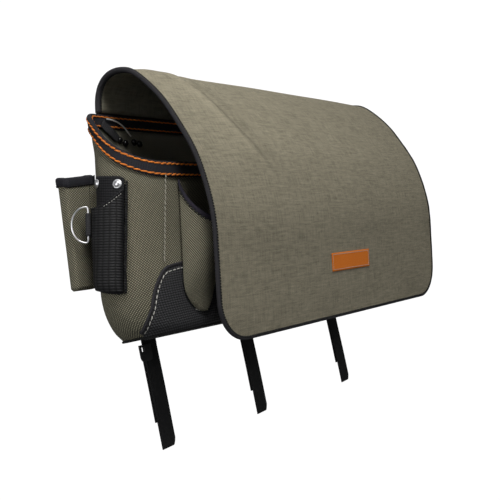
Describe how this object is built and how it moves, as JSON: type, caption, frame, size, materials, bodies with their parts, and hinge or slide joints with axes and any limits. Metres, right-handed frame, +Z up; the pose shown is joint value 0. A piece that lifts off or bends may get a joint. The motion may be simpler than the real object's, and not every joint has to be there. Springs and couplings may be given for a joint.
{
  "type": "hanging tool bag with arched cover",
  "caption": "Long fabric tool bag that hangs flat against a ladder or wall, with an arched hinged cover, front and end pockets, a riveted tool sheath with ring, and tie straps.",
  "frame": {"origin": "centre of the back panel's flat rear face", "axes": "+X to the right of a person facing the front of the bag, +Y out of the rear face towards what the bag hangs on, +Z up"},
  "size_m": [0.8063, 0.1512, 0.4668],
  "materials": {
    "khaki": "ballistic weave, matt",
    "khaki_cover": "plain woven polyester, matt",
    "lining": "dark coated cloth",
    "black_webbing": "woven polypropylene webbing",
    "black_mesh": "ribbed mesh cloth",
    "black_plastic": "moulded, glossy",
    "chrome": "bright plated",
    "orange": "woven label, blank",
    "board": "stiff plastic board"
  },
  "bodies": {
    "bag": {"back_panel": "board", "bag_shell": "khaki", "base_panel": "black_mesh", "floor_board": "board", "front_pocket_1": "khaki", "front_pocket_2": "khaki", "front_pocket_3": "khaki", "front_pocket_4": "khaki", "front_pocket_binding_1": "black_webbing", "front_pocket_binding_2": "black_webbing", "front_pocket_binding_3": "black_webbing", "front_pocket_binding_4": "black_webbing", "rim_band_inner": "black_webbing", "rim_band_outer": "black_webbing", "ring_loop": "black_webbing", "sheath_backplate": "black_webbing", "sheath_rivet_1": "chrome", "sheath_rivet_2": "chrome", "sheath_rivet_3": "chrome", "sheath_rivet_4": "chrome", "sheath_side_flange": "black_webbing", "sheath_sleeve": "black_webbing", "sheath_welt": "black_webbing", "side_pocket_binding_left": "black_webbing", "side_pocket_binding_right": "black_webbing", "side_pocket_left": "khaki", "side_pocket_right": "khaki", "snap_head_1": "black_plastic", "snap_head_2": "black_plastic", "snap_head_3": "black_plastic", "snap_head_4": "black_plastic", "strap_anchor_1": "black_webbing", "strap_anchor_2": "black_webbing", "strap_anchor_3": "black_webbing"},
    "cover": {"cover_binding": "black_webbing", "cover_label": "orange", "cover_lining": "lining", "cover_panel": "khaki_cover", "cover_stiffener": "board"},
    "tool_ring": {"tool_ring": "chrome"},
    "clip_tab": {"clip_tab": "black_webbing"},
    "clip_wire": {"clip_wire": "chrome"},
    "strap_1": {"strap_1": "black_webbing", "hook_pad_1": "black_webbing", "strap_tab_1": "black_plastic"},
    "strap_2": {"strap_2": "black_webbing", "hook_pad_2": "black_webbing", "strap_tab_2": "black_plastic"},
    "strap_3": {"strap_3": "black_webbing", "hook_pad_3": "black_webbing", "strap_tab_3": "black_plastic"}
  },
  "joints": [
    {"name": "cover_hinge", "type": "hinge", "parent": "bag", "child": "cover", "pos_m": [0, -0.002, 0.145], "axis": [-1, 0, 0], "range_deg": [0, 120]},
    {"name": "ring_swing", "type": "hinge", "parent": "bag", "child": "tool_ring", "pos_m": [-0.3844, -0.0374, -0.0036], "axis": [0.1697, -0.0785, 0.9824], "range_deg": [-3, 85]},
    {"name": "clip_tab_flap", "type": "hinge", "parent": "bag", "child": "clip_tab", "pos_m": [-0.3, -0.0099, 0.131], "axis": [-0.6712, 0, -0.7413], "range_deg": [0, 70]},
    {"name": "clip_wire_swing", "type": "hinge", "parent": "bag", "child": "clip_wire", "pos_m": [-0.291, -0.0104, 0.136], "axis": [0.8601, 0, -0.5101], "range_deg": [0, 80]},
    {"name": "strap_1_swing", "type": "hinge", "parent": "bag", "child": "strap_1", "pos_m": [-0.2895, -0.0039, -0.1475], "axis": [1, 0, 0], "range_deg": [-60, 110]},
    {"name": "strap_2_swing", "type": "hinge", "parent": "bag", "child": "strap_2", "pos_m": [-0.089, -0.0039, -0.1475], "axis": [1, 0, 0], "range_deg": [-60, 110]},
    {"name": "strap_3_swing", "type": "hinge", "parent": "bag", "child": "strap_3", "pos_m": [0.1505, -0.0039, -0.1475], "axis": [1, 0, 0], "range_deg": [-60, 110]}
  ]
}
